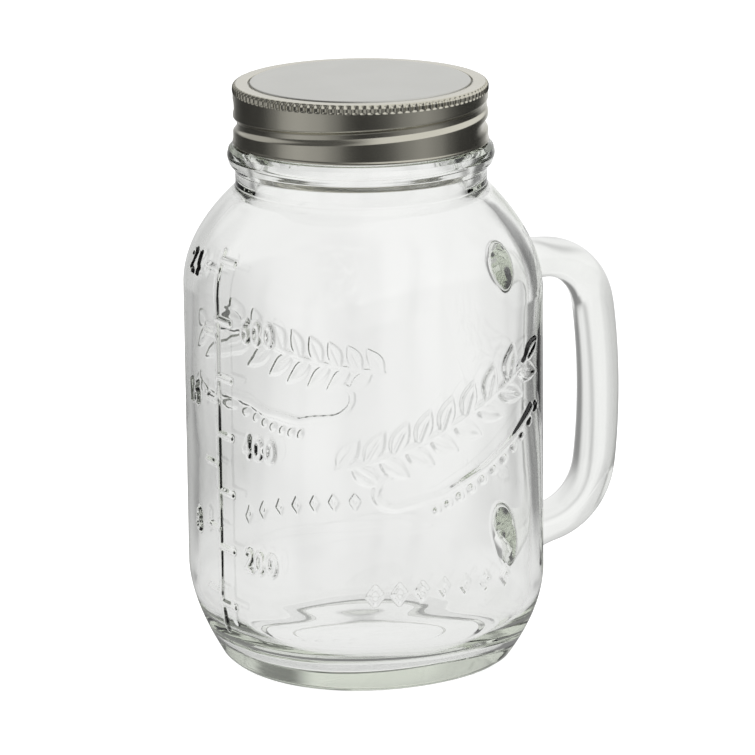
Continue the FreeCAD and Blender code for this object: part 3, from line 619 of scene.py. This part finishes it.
def skirt_rings(angles):
    """Outside of the skirt from its rolled hem up to the belt."""
    # distances in from the band's radius and up from its lower edge
    hem = [(SHEET, 0.35), (SHEET, 0.12), (0.25, 0.0), (0.12, 0.0), (0.0, 0.14), (0.0, 0.5),
           (SKIRT_INSET, 0.8)]
    rings = [ring(angles, BAND_RADIUS - inward, BAND_BOTTOM + up) for inward, up in hem]
    for up in np.arange(BAND_BOTTOM + 1.1, BELT_BOTTOM - 0.2, 0.3):
        rings.append(ring(angles, BAND_RADIUS - SKIRT_INSET - groove_depth(angles, up), up))
    return rings


def belt_rings(angles):
    """Knurled belt and the rounded corner over it, where the scallops run out."""
    corner_heights = BELT_TOP + BAND_CORNER * np.sin(np.linspace(0.15, math.pi / 2, 9))
    rings = []
    for up in np.concatenate([np.linspace(BELT_BOTTOM - 0.1, BELT_TOP, 12), corner_heights]):
        lean = min(max(up - BELT_TOP, 0) / BAND_CORNER, 1.0)
        upright = math.sqrt(1 - lean ** 2)
        run_in = smooth_step((up - BELT_BOTTOM + 0.1) / 0.5)
        run_out = 1 - smooth_step((lean - 0.75) / 0.25)
        depth = SCALLOP_DEPTH * np.abs(np.sin(angles * SCALLOPS / 2)) * run_in * run_out
        reach = BAND_RADIUS - BAND_CORNER * (1 - upright) - SKIRT_INSET * (1 - run_in)
        points = ring(angles, reach - depth * upright, up)
        points[:, 2] -= depth * lean
        rings.append(points)
    return rings


def flange_rings(angles):
    """Flange, its lip and the inside of the band down to the hem."""
    under, inner = BAND_TOP - SHEET, BAND_RADIUS - SHEET
    turned = [(34.2, BAND_TOP), (33.2, BAND_TOP), (32.3, BAND_TOP), (LIP_RADIUS + 0.15, BAND_TOP),
              (LIP_RADIUS, BAND_TOP - 0.2), (LIP_RADIUS + 0.1, under), (33.0, under), (34.6, under),
              (inner - 0.45, under - 0.5), (inner - 0.5, BELT_BOTTOM)]
    rings = [ring(angles, across, up) for across, up in turned]
    for up in np.arange(BELT_BOTTOM - 0.7, BAND_BOTTOM + 0.6, -0.45):
        rings.append(ring(angles, inner - SKIRT_INSET - groove_depth(angles, up), up))
    return rings


def screw_band(material):
    """Skirt with rolled grooves, knurled belt, flange and the same wall inside."""
    fine = np.linspace(0, 2 * math.pi, SCALLOPS * 8, endpoint=False)
    coarse = fine[::2]
    skin = Skin()
    rings = skirt_rings(coarse) + belt_rings(fine) + flange_rings(coarse)
    skin.chain([skin.add(points) for points in rings], closed=True)
    skin.make("band_metal", "band", "screw_band", "satin_band", material)


def lathe(corners, spacing, count):
    """Turned skin from corners (radius, height, rounding), closed or running from axis to axis."""
    angles = np.linspace(0, 2 * math.pi, count, endpoint=False)
    closed = corners[0][0] > 0
    if closed:
        corners = corners + corners[:1]
    rings = [ring(angles, across, up) for across, up in filled(rounded(corners), spacing)]
    if closed:
        rings.pop()
    else:
        rings[0], rings[-1] = rings[0][:1], rings[-1][:1]
    skin = Skin()
    skin.chain([skin.add(points) for points in rings], closed)
    return skin


def lid_disc(material):
    """Stamped disc: raised panel, step and rim."""
    rim_top = DISC_BOTTOM + 0.3
    corners = [(0.0, DISC_TOP - 0.3, 0), (30.3, DISC_TOP - 0.3, 0.3), (30.8, rim_top, 0.3),
               (30.9, DISC_BOTTOM, 0.1), (DISC_RADIUS, DISC_BOTTOM, 0.08),
               (DISC_RADIUS, rim_top, 0.08), (31.3, rim_top, 0.25), (31.1, DISC_TOP, 0.55),
               (0.0, DISC_TOP, 0)]
    lathe(corners, 1.2, 256).make("disc_metal", "lid", "lid_disc", "satin_plate", material)


def sealing_ring(material):
    """Soft ring under the disc's rim."""
    inner, outer = 30.6, SEAL_RADIUS - 0.1
    corners = [(inner, SEAL_BOTTOM, 0.2), (outer, SEAL_BOTTOM, 0.3), (outer, SEAL_TOP, 0.1),
               (inner, SEAL_TOP, 0.1)]
    lathe(corners, 0.5, 192).make("seal_rubber", "lid", "sealing_ring", "seal_rubber", material)


# ---------------------------------------------------------------- materials

class Graph:
    """A node tree with short calls for the few kinds of node used here."""

    def __init__(self, tree):
        self.tree = tree
        self.tree.nodes.clear()

    def node(self, kind, inputs=(), **settings):
        """A node with its settings; an input is a value or another node's output."""
        made = self.tree.nodes.new(kind)
        for key, value in settings.items():
            setattr(made, key, value)
        for key, value in dict(inputs).items():
            if isinstance(value, bpy.types.NodeSocket):
                self.tree.links.new(value, made.inputs[key])
            else:
                made.inputs[key].default_value = value
        return made

    def math(self, operation, *values):
        return self.node("ShaderNodeMath", dict(enumerate(values)), operation=operation).outputs[0]

    def ramp(self, value, low, high, to_low=0.0, to_high=1.0):
        """Smooth rise from one number to another while the value goes from low to high."""
        inputs = {"Value": value, "From Min": low, "From Max": high,
                  "To Min": to_low, "To Max": to_high}
        made = self.node("ShaderNodeMapRange", inputs, interpolation_type="SMOOTHSTEP")
        return made.outputs["Result"]

    def blend(self, share, first, second):
        """Plain number between two others."""
        inputs = {0: share, 2: first, 3: second}
        return self.node("ShaderNodeMix", inputs, data_type="FLOAT").outputs[0]

    def noise(self, place, scale, detail):
        inputs = {"Vector": place, "Scale": scale, "Detail": detail}
        return self.node("ShaderNodeTexNoise", inputs).outputs["Fac"]

    def bump(self, strength, distance, height):
        inputs = {"Strength": strength, "Distance": distance, "Height": height}
        return self.node("ShaderNodeBump", inputs).outputs["Normal"]

    def output(self, surface, **others):
        self.node("ShaderNodeOutputMaterial", {"Surface": surface, **others})


def new_material(name):
    """A material, its empty graph and its place socket."""
    material = bpy.data.materials.new(name)
    material.use_nodes = True
    g = Graph(material.node_tree)
    return material, g, g.node("ShaderNodeTexCoord").outputs["Object"]


def clear_glass():
    """Pressed soda glass, faintly grey-green where it is thick."""
    material, g, place = new_material("clear_pressed_glass")
    spot = g.node("ShaderNodeSeparateXYZ", {0: place}).outputs
    # a little softer on the handle, out past the body, and on the neck, above the shoulder
    handle = g.ramp(spot["X"], 0.050, 0.056, 0.0, 0.03)
    neck = g.ramp(spot["Z"], 0.137, 0.141, 0.0, 0.035)
    glass = g.node("ShaderNodeBsdfPrincipled", {
        "Base Color": (1, 1, 1, 1), "Roughness": g.math("ADD", handle, neck), "IOR": 1.52,
        "Transmission Weight": 1.0, "Normal": g.bump(0.12, 0.0006, g.noise(place, 60.0, 2.0))})
    clear = g.node("ShaderNodeBsdfTransparent", {"Color": (0.93, 0.95, 0.94, 1)})
    shadow = g.node("ShaderNodeLightPath").outputs["Is Shadow Ray"]
    surface = g.node("ShaderNodeMixShader", {0: shadow, 1: glass.outputs[0], 2: clear.outputs[0]})
    depth = g.node("ShaderNodeVolumeAbsorption", {"Color": (0.80, 0.83, 0.76, 1), "Density": 20.0})
    g.output(surface.outputs[0], Volume=depth.outputs[0])
    return material


def satin_metal(name, colour, roughness):
    """Lacquered tinplate: fine rolling grain and a slightly uneven sheen."""
    material, g, place = new_material(name)
    sheen = g.ramp(g.noise(place, 70.0, 3.0), 0.3, 0.7, roughness - 0.02, roughness + 0.03)
    metal = g.node("ShaderNodeBsdfPrincipled", {
        "Base Color": (*colour, 1), "Metallic": 1.0, "Roughness": sheen,
        "Normal": g.bump(0.25, 0.00003, g.noise(place, 2600.0, 3.0))})
    g.output(metal.outputs[0])
    return material


def soft_rubber():
    """Matt sealing compound."""
    material, g, place = new_material("matt_seal")
    mottle = g.noise(place, 900.0, 4.0)
    tones = {0: mottle, 6: (0.50, 0.47, 0.42, 1), 7: (0.60, 0.57, 0.52, 1)}
    tone = g.node("ShaderNodeMix", tones, data_type="RGBA").outputs[2]
    rubber = g.node("ShaderNodeBsdfPrincipled", {
        "Base Color": tone, "Roughness": 0.7, "Normal": g.bump(0.3, 0.0001, mottle)})
    g.output(rubber.outputs[0])
    return material


# ---------------------------------------------------------------- studio

def dial(g, vector, stops):
    """Tone by compass heading: stops are (angle from +X in degrees, tone), joined smoothly."""
    split = g.node("ShaderNodeSeparateXYZ", {0: vector}).outputs
    angle = g.math("ARCTAN2", split["Y"], split["X"])
    turn = g.math("FRACT", g.math("ADD", g.math("DIVIDE", angle, 2 * math.pi), 1.0))
    ramp = g.node("ShaderNodeValToRGB", {"Fac": turn})
    ramp.color_ramp.interpolation = "EASE"
    points = ramp.color_ramp.elements
    for point in points:
        point.color = (stops[0][1],) * 3 + (1,)
    for heading, tone in stops[1:]:
        points.new(heading / 360).color = (tone,) * 3 + (1,)
    return ramp.outputs["Color"]


# What glass shows of the studio, near the jar and beyond it: painted pale cards with painted dark
# gaps between, as tones of the floor and the world.
SEEN_NEAR = (
    (0, .7), (8, .3), (20, .3), (30, .85), (36, .88), (43, .62), (50, .92), (56, .96), (67, .94),
    (75, .78), (84, .7), (100, .64), (113, .34), (124, .8), (148, .75), (160, .4), (170, .9),
    (192, .9), (202, .4), (213, .9), (237, .9), (250, .25), (285, .25), (298, .95), (322, .8),
    (336, .45), (350, .45))
SEEN_FAR = (
    (0, .95), (12, .95), (24, .25), (36, .25), (46, .95), (76, .95), (90, .78), (104, .76),
    (112, .4), (122, .95), (148, .95), (158, .4), (166, 1), (194, 1), (204, .3), (214, 1),
    (236, 1), (248, .3), (258, 1), (282, 1), (292, .3), (302, 1), (328, 1), (336, .4), (348, 1))
# What metal mirrors, level and overhead: painted reflections of two soft boxes and a pale sweep, as
# tones of the floor and the world.
MIRRORED = (
    (0, .03), (14, .04), (28, .3), (40, .7), (52, .9), (66, .75), (80, .4), (96, .1), (112, .03),
    (145, .04), (160, .17), (172, .42), (184, .5), (206, .42), (220, .26), (232, .07), (243, .03),
    (256, .05), (268, .1), (282, .26), (300, .38), (316, .28), (330, .1), (342, .04))
OVERHEAD = (
    (0, .95), (85, .92), (105, .5), (134, .55), (160, .1), (215, .1), (240, .4), (258, .85),
    (290, .95))


def studio_floor():
    """White sweep under the jar: white to the camera, with a soft shadow; glowing with painted
    cards, gaps and reflections for glass and metal.
    """
    bpy.ops.mesh.primitive_circle_add(vertices=96, radius=1.6, fill_type="NGON", location=(0, 0, 0))
    floor = bpy.context.object
    floor.name = "floor"
    material = bpy.data.materials.new("white_sweep_painted_studio")
    material.use_nodes = True
    g = Graph(material.node_tree)
    place = g.node("ShaderNodeNewGeometry").outputs["Position"]
    path = g.node("ShaderNodeLightPath").outputs
    away = g.node("ShaderNodeVectorMath", {0: place}, operation="LENGTH").outputs["Value"]
    # painted light: for glass the floor glows with painted pale cards and dark gaps, for metal with
    # painted soft-box reflections
    painted_see_through = g.blend(g.ramp(away, 0.08, 0.24), 0.88, dial(g, place, SEEN_NEAR))
    painted_see_through = g.blend(g.ramp(away, 0.5, 0.75), painted_see_through, dial(g, place, SEEN_FAR))
    painted_reflection = g.blend(g.ramp(away, 0.1, 0.3), 0.25, dial(g, place, MIRRORED))
    tone = g.blend(path["Is Glossy Ray"], 0.8, painted_reflection)
    tone = g.blend(path["Is Transmission Ray"], tone, painted_see_through)
    painted_glow = g.node("ShaderNodeEmission", {"Strength": tone})
    lit = g.node("ShaderNodeBsdfDiffuse", {"Color": (0.8, 0.8, 0.8, 1)})
    glow = g.node("ShaderNodeEmission", {"Strength": 0.42})
    seen = g.node("ShaderNodeAddShader", {0: lit.outputs[0], 1: glow.outputs[0]})
    shown = {0: path["Is Camera Ray"], 1: painted_glow.outputs[0], 2: seen.outputs[0]}
    g.output(g.node("ShaderNodeMixShader", shown).outputs[0])
    floor.data.materials.append(material)


def studio_world():
    """White surroundings for the camera; for glass and metal, painted cards, dark gaps and soft-box
    reflections.
    """
    world = bpy.data.worlds.new("studio")
    bpy.context.scene.world = world
    world.use_nodes = True
    g = Graph(world.node_tree)
    way = g.node("ShaderNodeTexCoord").outputs["Generated"]
    path = g.node("ShaderNodeLightPath").outputs
    up = g.node("ShaderNodeSeparateXYZ", {0: way}).outputs["Z"]
    # painted light: pale cards and dark gaps for glass, and soft-box reflections for metal, that
    # light nothing else
    painted_see_through = g.blend(g.ramp(up, 0.3, 0.5), dial(g, way, SEEN_FAR), 0.78)
    painted_reflection = g.blend(g.ramp(up, 0.12, 0.25), dial(g, way, MIRRORED), dial(g, way, OVERHEAD))
    tone = g.blend(path["Is Glossy Ray"], 0.95, painted_reflection)
    tone = g.blend(path["Is Transmission Ray"], tone, painted_see_through)
    tone = g.blend(path["Is Camera Ray"], tone, 1.0)
    sky = g.node("ShaderNodeBackground", {"Color": (1, 1, 1, 1), "Strength": tone})
    g.node("ShaderNodeOutputWorld", {"Surface": sky.outputs[0]})


def soft_box(name, heading, elevation, power):
    """A large area lamp aimed at the jar, with its direction in degrees from +X and from level."""
    heading, elevation = math.radians(heading), math.radians(elevation)
    lamp = bpy.data.lights.new(name, "AREA")
    lamp.shape = "RECTANGLE"
    lamp.size, lamp.size_y = 0.8, 0.5
    lamp.energy = power
    holder = bpy.data.objects.new(name, lamp)
    bpy.context.scene.collection.objects.link(holder)
    level = math.cos(elevation)
    way = Vector((level * math.cos(heading), level * math.sin(heading), math.sin(elevation)))
    holder.location = way * 1.4 + Vector((0, 0, 0.08))
    holder.rotation_euler = way.to_track_quat("Z", "Y").to_euler()
    holder.visible_glossy = False
    holder.visible_transmission = False


def camera():
    """The studio camera, a little above the jar and far away."""
    sensor, frame_pixels, lens_pixels = 36.0, 755.0, 4700.0
    distance, height = 1.3, 0.417
    azimuth, pitch, roll = math.radians(-27.0), math.radians(14.5), math.radians(-0.6)
    data = bpy.data.cameras.new("camera")
    data.sensor_width = sensor
    data.lens = sensor * lens_pixels / frame_pixels
    data.clip_start, data.clip_end = 0.01, 50.0
    holder = bpy.data.objects.new("camera", data)
    bpy.context.scene.collection.objects.link(holder)
    # a slight pan puts the jar's axis 14 pixels left of the middle
    pan = math.atan2(-14.0, lens_pixels) / math.cos(pitch)
    ahead = Vector((-math.sin(azimuth + pan), math.cos(azimuth + pan), 0)) * math.cos(pitch)
    ahead.z = -math.sin(pitch)
    right = ahead.cross(Vector((0, 0, 1))).normalized()
    up = right.cross(ahead)
    across = right * math.cos(roll) + up * math.sin(roll)
    over = up * math.cos(roll) - right * math.sin(roll)
    turn = Matrix((across, over, -ahead)).transposed()
    place = Vector((distance * math.sin(azimuth), -distance * math.cos(azimuth), height))
    holder.matrix_world = Matrix.Translation(place) @ turn.to_4x4()
    bpy.context.scene.camera = holder


# ---------------------------------------------------------------- build

glass_jar(clear_glass())
screw_band(satin_metal("pewter_satin", (0.62, 0.60, 0.515), 0.2))
lid_disc(satin_metal("plate_satin", (0.60, 0.60, 0.57), 0.36))
sealing_ring(soft_rubber())
studio_floor()
studio_world()
soft_box("key", -170, 40, 6.0)
soft_box("fill", -50, 45, 5.0)
camera()

scene = bpy.context.scene
scene.view_settings.view_transform = "Standard"
scene.cycles.max_bounces = 28
scene.cycles.transmission_bounces = 28
scene.cycles.glossy_bounces = 12
scene.cycles.transparent_max_bounces = 16
